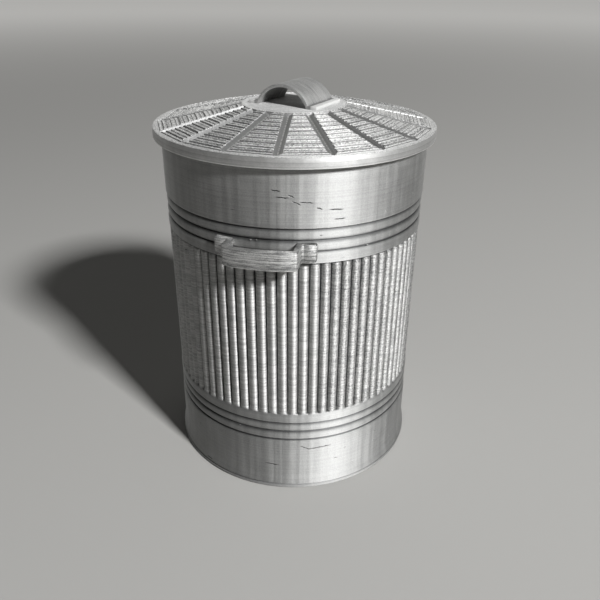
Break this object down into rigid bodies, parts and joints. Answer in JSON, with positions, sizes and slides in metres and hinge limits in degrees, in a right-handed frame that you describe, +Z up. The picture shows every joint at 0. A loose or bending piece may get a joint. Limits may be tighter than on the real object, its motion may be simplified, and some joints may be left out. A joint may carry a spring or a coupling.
{
  "type": "desktop trash can",
  "caption": "Round desk bin made like a galvanised can: straight wall with upright ribs between beads, strap side handles, and a loose lid of sloping panels with an arched handle.",
  "frame": {"origin": "centre of the underside of the floor disc, on the can's axis", "axes": "+Z up along the can's axis, the two side handles stand on -Y and +Y, +X to the right of the front handle"},
  "size_m": [0.104, 0.1152, 0.148],
  "materials": {
    "can_silver": "satin silver printed plastic with fine level layer lines",
    "lid_silver": "satin silver printed plastic with layer steps on the panels",
    "handle_silver": "satin silver printed plastic with fine layer lines"
  },
  "bodies": {
    "can": {"can_wall": "can_silver", "base_plate": "can_silver", "side_handle_front": "handle_silver", "side_handle_rear": "handle_silver"},
    "lid": {"lid_pan": "lid_silver", "lid_handle": "handle_silver"}
  },
  "joints": [
    {"name": "lid_lift", "type": "slide", "parent": "can", "child": "lid", "axis": [0, 0, 1], "range_m": [0, 0.06]}
  ]
}
